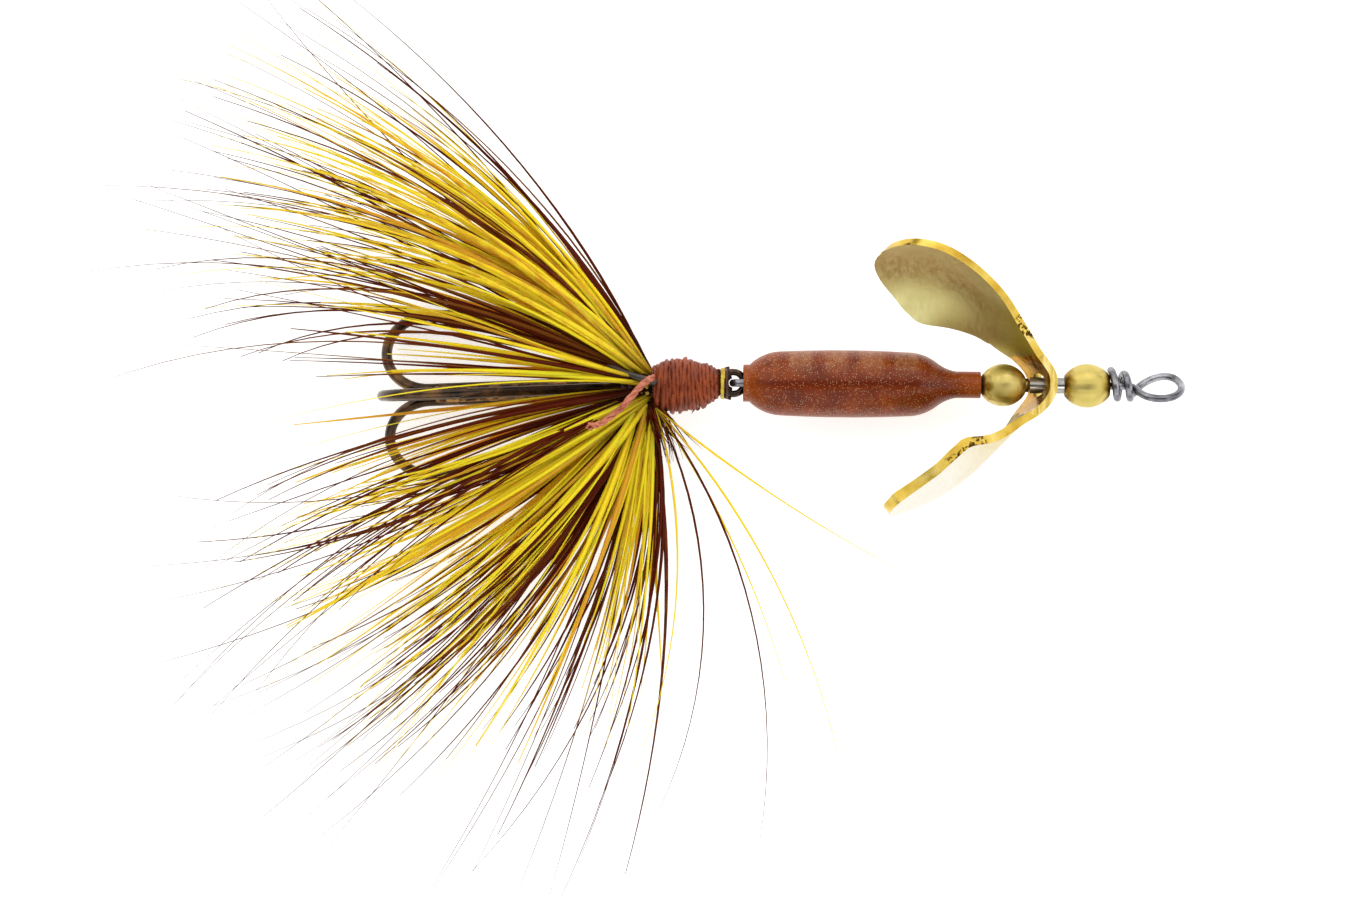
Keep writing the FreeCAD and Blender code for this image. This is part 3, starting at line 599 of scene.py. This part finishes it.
def make_barrel():
    """The thread that ties the feathers down: laid turns, a few crossed ones and a spike of lacquer."""
    rear, front, radius = hook_span("tying_thread")
    thread = 0.17
    surface = thread_surface("rust_thread", "541a06", "a84a1a", 0.2)
    girths = ((0.0, 0.76), (0.16, 0.93), (0.42, 1.0), (0.78, 0.8), (1.0, 0.56))
    profile = [(share, girth * radius) for share, girth in girths]

    def reach(share):
        wobble = noise.noise(Vector((share * 37, 2.5, 0.5))) * 0.09
        return between(profile, share) - thread + wobble

    tubes = Tubes()
    twist = ply(2, 0.2, 0.42)
    laid = coil(rear + thread, front - thread, 17, reach, 0.05)
    tubes.add(laid, lambda share: thread, 8, section=twist)
    crossed = ((0.08, 0.2, 0.34, 0.4), (0.34, 0.5, 0.42, 1.9), (0.6, 0.72, -0.3, 3.4))
    for start, end, slant, phase in crossed:
        place = [rear + (front - rear) * value for value in (start, end)]

        def over(share, start=start, end=end):
            return reach(start + (end - start) * share) + thread * 0.75

        turn = coil(*place, 1.4, over, slant, phase=phase)
        tubes.add(turn, lambda share: thread * 0.95, 8, section=twist)
    spike_share = 0.62
    spike_place, spike_root = rear + (front - rear) * spike_share, reach(spike_share)
    spike = [
        Vector((spike_place - 0.1 * step, -spike_root - 0.16 * step, 0.25)) for step in range(-1, 4)
    ]
    tubes.add(spike, lambda share: 0.2 * (1 - share) ** 1.3 + 0.012, 8)
    barrel = tubes.finish("rust_winding", surface, PLACING)
    attach(barrel, "hook", "rust_thread", "tying_thread")

    core = Tubes()
    stations, inset = 24, 0.05
    length = front - rear - 2 * inset
    path = [Vector((rear + inset + length * step / stations, 0, 0)) for step in range(stations + 1)]
    core.add(path, lambda share: between(profile, share) - 1.3 * thread, 40)
    # Painted shade: the core is a darker copy of the rust thread, seen in the gaps between the turns
    dark = thread_surface("painted_shade_under_thread", "3a1206", "74300f", 0.2)
    under = core.finish("winding_core", dark, PLACING)
    attach(under, "hook", "rust_thread")


def make_yellow_turns():
    """Two turns of yellow thread in front of the barrel, a little aslant."""
    rear, front, radius = hook_span("yellow_thread")
    thread = 0.088
    tubes = Tubes()
    path = coil(rear + thread, front - thread, 2.2, lambda share: radius - thread, 0.07)
    tubes.add(path, lambda share: thread, 8, section=ply(2, 0.16, 0.4))
    floss = thread_surface("yellow_floss", "a07a10", "f0d648", 0.2)
    turns = tubes.finish("yellow_turns", floss, PLACING)
    attach(turns, "hook", "yellow_thread", "yellow_thread")


def eye_rope(ring):
    """A thread wound round the rear half of the hook's eye, closer to the wire at both ends."""
    first, span, turns, steps = 105, 150, 15, 600
    rope = []
    for index in range(steps + 1):
        share = index / steps
        sweep = math.radians(first + span * share)
        turn = 2 * math.pi * turns * share
        hug = 0.38 - 0.1 * abs(2 * share - 1) ** 3
        out = Vector((math.cos(sweep), math.sin(sweep), 0))
        rope.append(out * (ring + hug * math.cos(turn)) + Vector((0, 0, hug * math.sin(turn))))
    return rope


def eye_arc(reach):
    """A thread laid along the rear half of the hook's eye."""
    turns = [math.radians(100 + 4 * step) for step in range(41)]
    return [Vector((reach * math.cos(turn), reach * math.sin(turn), 0.02)) for turn in turns]


def make_eye_wrap():
    """Dark thread wound over the rear half of the hook's eye, and a salmon strand across it."""
    rear, _, radius = hook_span("eye_wrap")
    thread, ring, collar_front = 0.09, 0.8, -0.42
    girths = [(0, radius - thread), (0.5, radius - 0.12), (1, radius * 0.74)]
    collar = coil(rear + thread, collar_front, 2.6, lambda share: between(girths, share), 0.02)
    tubes = Tubes()
    tubes.add(collar, lambda share: thread, 8, section=ply(2, 0.22, 0.5))
    tubes.add(eye_rope(ring), lambda share: thread, 8, section=ply(2, 0.15, 0.5))
    for side in (-0.37, 0.37):
        tubes.add(eye_arc(ring + side), lambda share: 0.1, 8, section=ply(2, 0.2, 0.5))
    winding = thread_surface("dark_winding", "1b0d07", "5a3322", 0.4)
    wrap = tubes.finish("dark_eye_wrap", winding, PLACING)
    attach(wrap, "hook", "dark_thread", "eye_wrap")

    strand = Tubes()
    corners = ((-0.5, 0.95, 0.5), (-0.6, 0.5, 0.74), (-0.72, 0.1, 0.72), (-0.62, -0.4, 0.64))
    bow = smooth([Vector(corner) for corner in corners], 6)
    strand.add(bow, lambda share: 0.11, 8, section=ply(2, 0.2, 0.6))
    salmon = thread_surface("salmon_strand", "8a3a28", "e09a80", 0.2)
    loose = strand.finish("salmon_strand", salmon, PLACING)
    attach(loose, "hook", "salmon_thread")


def smooth(corners, steps):
    """A Catmull-Rom line through the corners."""
    ends = [2 * corners[0] - corners[1], *corners, 2 * corners[-1] - corners[-2]]
    path = []
    for a, b, c, d in zip(ends, ends[1:], ends[2:], ends[3:]):
        for step in range(steps):
            t = step / steps
            bend, twist = 2 * a - 5 * b + 4 * c - d, 3 * b - a - 3 * c + d
            path.append(0.5 * (2 * b + (c - a) * t + bend * t**2 + twist * t**3))
    return [*path, corners[-1]]


def make_tag():
    """The thread's loose end: three plies twisted together, and frayed at the tip."""
    low, high = (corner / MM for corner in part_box("thread_tag"))
    size = high - low

    def at(x, y, z):
        return Vector((low.x + size.x * x, low.y + size.y * y, low.z + size.z * z))

    shares = ((1.0, 0.88, 0.2), (0.8, 0.72, 0.9), (0.52, 0.4, 1.5), (0.22, 0.16, 2.0), (0.02, 0.1, 2.3))
    route = smooth([at(*share) for share in shares], 14)
    ways = directions(route)
    surface = thread_surface("salmon_twist", "8c3a26", "dd8a6c", 0.15)
    plies, turn_step, fray_start = 3, 0.33, 0.85
    tubes = Tubes()
    for strand in range(plies):
        path = []
        for index, (point, way) in enumerate(zip(route, ways)):
            side = way.orthogonal().normalized()
            turn = strand * 2 * math.pi / plies + index * turn_step
            fray = 0.13 + 0.16 * max(0.0, index / len(route) - fray_start) / (1 - fray_start)
            path.append(point + (side * math.cos(turn) + way.cross(side) * math.sin(turn)) * fray)
        tubes.add(path, lambda share: 0.15 - 0.05 * share, 8, section=ply(3, 0.12, 0.5))
    tag = tubes.finish("thread_end", surface, Matrix.Identity(4))
    attach(tag, "hook", "salmon_thread", "thread_tag")


# The hackle. Angles are degrees off the hook's rear axis, positive towards +Y, and lift is degrees upwards

LOWEST_LIFT = -5.0  # keeps the longest barbs off the floor


def barb_path(root, start, end, length, lift, droop, power, steps=18):
    """A barb that leaves its root at one angle, and bends to another at its tip."""
    path = [root.copy()]
    step = length / steps
    for index in range(steps):
        share = (index + 0.5) / steps
        angle = math.radians(start + (end - start) * share**power)
        rise = math.radians(lift - droop * share)
        way = Vector((-math.cos(angle) * math.cos(rise), math.sin(angle) * math.cos(rise), math.sin(rise)))
        path.append(path[-1] + way * step)
    return path


def root_point(rng, start, lift, place):
    """Where a barb leaves the bound feather, behind the barrel."""
    across = Vector((0, math.sin(math.radians(start)), math.sin(math.radians(lift)) + 0.25))
    across = across.normalized() if across.length > 0.05 else Vector((0, 0, 1))
    out = 0.75 + 0.55 * rng.random()
    return Vector((place - 0.9 * rng.random(), 0, 0)) + across * out


def barb_radius(thick):
    """A barb's taper: full for its first half, then down to a hair."""
    taper = ((0.0, 0.8), (0.25, 1.0), (0.55, 0.62), (0.8, 0.34), (1.0, 0.16))
    return lambda share: thick * between(taper, share)


def make_bundle(name, group, material, slot, seed):
    """One CAD tuft's barbs: clumps that lie side by side, with long hairs among them."""
    count, start, end, length, lifts, spread, power = group
    widths = (0.14, 0.24) if slot == "yellow_feather" else (0.1, 0.17)
    rng = random.Random(seed)
    rear, _, _ = hook_span("tying_thread")
    low, high = lifts
    tubes = Tubes()
    clumps = max(2, count // 4)
    for _ in range(clumps):
        clump_turn = rng.uniform(-spread, spread)
        clump_lift = low + (high - low) * rng.random() ** 1.6
        clump_length = length * rng.uniform(0.72, 0.96)
        for barb in range(count // clumps):
            hair = barb == 0
            own = rng.gauss(0, 3.0 if hair else 1.2)
            first = start + clump_turn + own
            last = end + clump_turn * 1.2 + own + rng.gauss(0, 9.0 if hair else 4.0)
            lift = max(LOWEST_LIFT, clump_lift + rng.gauss(0, 1.2))
            reach = length * rng.uniform(0.95, 1.06) if hair else clump_length * rng.uniform(0.7, 1.04)
            root = root_point(rng, first, lift, rear)
            path = barb_path(root, first, last, reach, lift, lift * 0.35, power)
            thick = rng.uniform(0.06, 0.09) if hair else rng.uniform(*widths)
            tubes.add(path, barb_radius(thick), 4, rng.random(), height=0.4)
    bundle = tubes.finish(name.replace("hackle", "barbs"), material, PLACING)
    attach(bundle, "hook", slot, name)


# Each group: count, angle at root, angle at tip, length in mm, lift from and to, spread of the clumps,
# and how late the bend comes
YELLOW_GROUPS = (
    (40, 60, 28, 40, (0, 22), 6, 0.8),
    (32, 52, 14, 39, (4, 40), 8, 0.9),
    (24, 38, 14, 35, (-4, 44), 10, 1.0),
    (16, 14, 8, 30, (-4, 50), 8, 1.0),
    (16, -9, -22, 29, (-4, 50), 7, 1.0),
    (24, -29, -20, 33, (-4, 30), 8, 1.0),
    (44, -46, -32, 34, (-3, 28), 10, 0.8),
    (40, -67, -48, 33, (0, 40), 10, 0.8),
    (20, -90, -80, 25, (0, 22), 8, 0.8),
)
BROWN_GROUPS = (
    (16, 66, 32, 41, (0, 6), 4, 0.8),
    (28, 51, 15, 42, (1, 22), 8, 0.8),
    (28, 30, 13, 41, (-4, 28), 10, 1.2),
    (12, 22, -20, 41, (-4, 24), 8, 1.8),
    (12, 15, 12, 37, (18, 48), 8, 1.0),
    (8, 2, -14, 36, (20, 50), 9, 1.6),
    (12, -30, -4, 39, (-4, 26), 8, 1.2),
    (24, -15, -30, 40, (-4, 26), 9, 1.0),
    (32, -52, -28, 40, (-3, 24), 9, 0.8),
    (24, -65, -32, 41, (0, 22), 8, 0.8),
    (16, -80, -56, 39, (0, 14), 8, 0.8),
    (12, -102, -66, 38, (0, 10), 8, 0.7),
)


# Each stray: angle at root, angle at tip, length in mm, lift
YELLOW_STRAYS = ((-138, -150, 22, 11), (-130, -98, 31, 9), (-122, -102, 24, 7), (-104, -64, 27, 8))
BROWN_STRAYS = ((-114, -62, 30, 6), (-124, -78, 33, 8))


def make_hackle():
    """A yellow and a brown feather wound behind the barrel, one piece for each CAD tuft."""
    # The first colour of each feather is the painted shade at the barbs' roots
    yellow = feather_surface("yellow_barbs", "a07c16", "fad61c", "cc981c", "e6be20", 0.4, 0.2)
    brown = feather_surface("brown_barbs", "1c0903", "561803", "74400e", "582418", 0.0, 0.08)
    for index, group in enumerate(YELLOW_GROUPS, 1):
        make_bundle(f"yellow_hackle_{index:02}", group, yellow, "yellow_feather", 100 + index)
    for index, group in enumerate(BROWN_GROUPS, 1):
        make_bundle(f"brown_hackle_{index:02}", group, brown, "brown_feather", 200 + index)
    make_strays("yellow_strays", YELLOW_STRAYS, yellow, "yellow_feather")
    make_strays("brown_strays", BROWN_STRAYS, brown, "brown_feather")
    make_down(brown)
    make_stems()


def make_strays(name, barbs, material, slot):
    """Single barbs that have sprung forwards."""
    tubes = Tubes()
    rear, _, radius = hook_span("tying_thread")
    for start, end, length, lift in barbs:
        root = Vector((rear + 0.2, -radius * 0.8, radius * 0.7))
        path = barb_path(root, start, end, length, lift, 4, 1.0)
        tubes.add(path, barb_radius(0.09), 4, 0.2)
    strays = tubes.finish(name, material, PLACING)
    attach(strays, "hook", slot)


def make_down(material):
    """A short fluffy clump beside the barrel's rear end."""
    tubes = Tubes()
    rng = random.Random(47)
    rear, _, radius = hook_span("tying_thread")
    for _ in range(46):
        start = rng.uniform(-128, -84)
        root = Vector((rear + rng.uniform(-0.5, 0.4), -radius * 0.55, radius * rng.uniform(0.2, 0.6)))
        end, length, lift = start + rng.uniform(-35, 35), rng.uniform(2.2, 5.2), rng.uniform(0, 25)
        path = barb_path(root, start, end, length, lift, 0, 1.0, 10)
        tubes.add(path, barb_radius(0.07), 4, rng.random())
    down = tubes.finish("brown_down", material, PLACING)
    attach(down, "hook", "brown_feather")


def make_stems():
    """The feathers' cut stems: a dark one over the upper barbs and a nub under the barrel's rear."""
    rear, _, radius = hook_span("tying_thread")
    surface = quill_surface("feather_stem", "0e0d12", "4a3a20")
    tubes = Tubes()
    corners = ((-0.3, 0, 0), (1.2, 0.5, 0.4), (2.9, 1.3, 0.5), (4.3, 1.9, 0.3))
    over = [Vector((rear - back, 0.25 + out, radius * 0.8 + up)) for back, out, up in corners]
    tubes.add(smooth(over, 8), lambda share: 0.3 - 0.2 * share, 8)
    corners = ((-0.2, 0.5), (0.45, 0.85), (0.95, 1.0))
    nub = [Vector((rear + ahead, -radius * down, 0.5)) for ahead, down in corners]
    tubes.add(smooth(nub, 6), lambda share: 0.28 - 0.08 * share, 8)
    stems = tubes.finish("feather_stems", surface, PLACING)
    attach(stems, "hook", "brown_feather")


# Finishes on the CAD nodes


def dress(node, material):
    """Gives a CAD node's own slot a better material."""
    frame["nodes"][node].data.materials[0] = material


def blade_parts(mesh):
    """Each face's place in the finishes: inner leaf, outer leaf, rim, inner hub, outer hub."""
    centres = np.array([face.center for face in mesh.polygons])
    normals = np.array([face.normal for face in mesh.polygons])
    areas = np.array([face.area for face in mesh.polygons])
    hub_half = 0.0021
    parts = np.full(len(areas), 2)
    for side in (1, -1):
        leaf = centres[:, 1] * side > hub_half
        weighted = (normals[leaf] * areas[leaf, None]).T @ normals[leaf]
        flat = np.linalg.eigh(weighted)[1][:, 2]
        if flat[1] * side > 0:
            flat = -flat
        facing = normals @ flat
        parts[leaf & (facing > 0.6)] = 0
        parts[leaf & (facing < -0.6)] = 1
    hub = np.abs(centres[:, 1]) <= hub_half
    parts[hub & (normals[:, 0] < -0.3)] = 3
    parts[hub & (normals[:, 0] > 0.3)] = 4
    return parts


def dress_blade():
    """Gives the blade's faces, rim and hub their own finishes."""
    mesh = frame["nodes"]["twin_blade"].data
    finishes = (
        leaf_surface("satin_leaf_inside", "dad294", "968638", 0.42),
        leaf_surface("satin_leaf_outside", "dad5c8", "cdb978", 0.38),
        edge_surface(),
        hub_surface("amber_hub_inside", ("9a6f1e", "c4942e", "dcb458"), 0.3, 0.1),
        hub_surface("pale_hub_outside", ("94722a", "cfb35a", "f6e6ac"), 0.6, 0.3),
    )
    mesh.materials[0] = finishes[0]
    for finish in finishes[1:]:
        mesh.materials.append(finish)
    mesh.polygons.foreach_set("material_index", [int(part) for part in blade_parts(mesh)])


def dress_nodes():
    """Better finishes for the nodes whose shape stays."""
    dress("shaft_wire", steel_surface())
    # The second colour of each bead is its painted shade towards the ends
    dress("front_bead", bead_surface("olive_gold_bead", "front_bead", "cdb968", "a08230", 26, 0.12))
    dress("rear_bead", bead_surface("cloudy_gold_bead", "rear_bead", "d0bc70", "987422", 18, 0.2))
    dress("bearing_sleeve", sleeve_surface())
    dress("body_coating", coat_surface())
    dress("body_core", core_surface())
    bronze = hook_surface()
    dress("double_hook", bronze)
    dress("third_hook", bronze)
    dress("hook_braze", braze_surface())
    dress("yellow_quill", quill_surface("yellow_stem_wraps", "6e5410", "d8b832"))
    dress("brown_quill", quill_surface("brown_stem_wraps", "1a0a05", "6a2c10"))
    dress_blade()


make_camera()
make_studio()
bpy.context.scene.view_settings.view_transform = "Standard"
dress_nodes()
make_barrel()
make_yellow_turns()
make_eye_wrap()
make_tag()
make_hackle()
